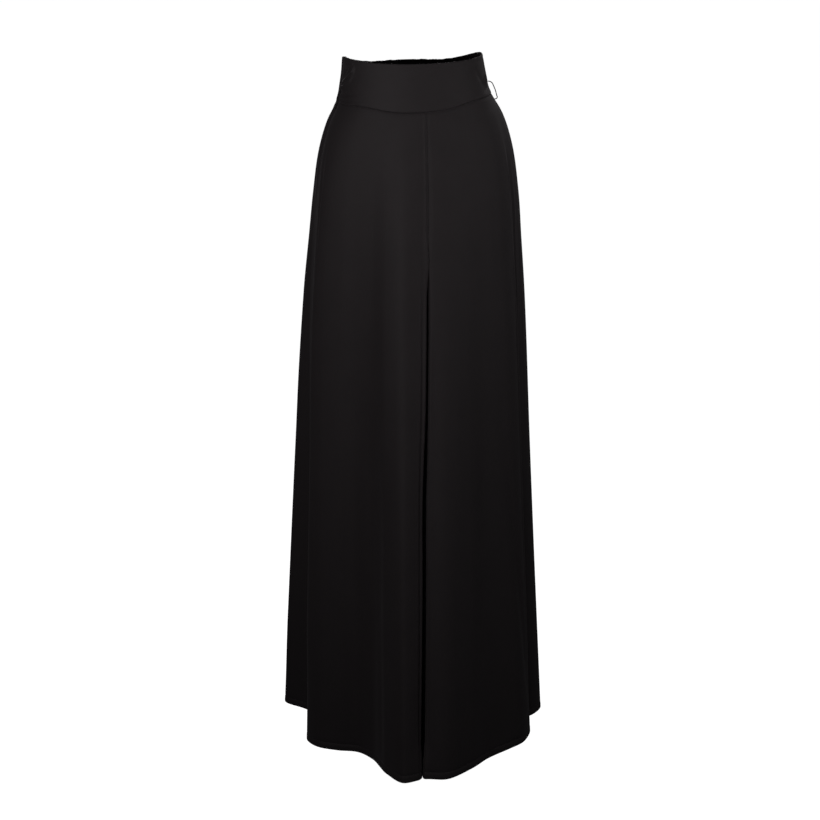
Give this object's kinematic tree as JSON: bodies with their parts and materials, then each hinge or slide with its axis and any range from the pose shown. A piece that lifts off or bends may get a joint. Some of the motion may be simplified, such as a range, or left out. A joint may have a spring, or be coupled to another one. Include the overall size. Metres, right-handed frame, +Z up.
{
  "type": "hanfu trousers",
  "caption": "Black wide-leg trousers with a high flat-front waistband, an elastic gathered back, side folds and thin belt loops, filled out as worn.",
  "frame": {"origin": "middle of the waist ring, level with the seam under the waistband", "axes": "+Z up along the wearer's body, the front faces -Y, +X is the wearer's left"},
  "size_m": [0.4008, 0.3705, 1.07],
  "materials": {
    "leg_cloth": "smooth black crepe with a soft sheen",
    "band_cloth": "the same black crepe over a stiffener",
    "loop_thread": "black thread chain"
  },
  "bodies": {
    "root": {"waistband_front": "band_cloth", "waistband_back": "band_cloth", "right_leg_front": "leg_cloth", "right_seat": "leg_cloth", "right_leg_back": "leg_cloth", "right_belt_loop": "loop_thread", "left_leg_front": "leg_cloth", "left_seat": "leg_cloth", "left_leg_back": "leg_cloth", "left_belt_loop": "loop_thread"}
  },
  "joints": []
}
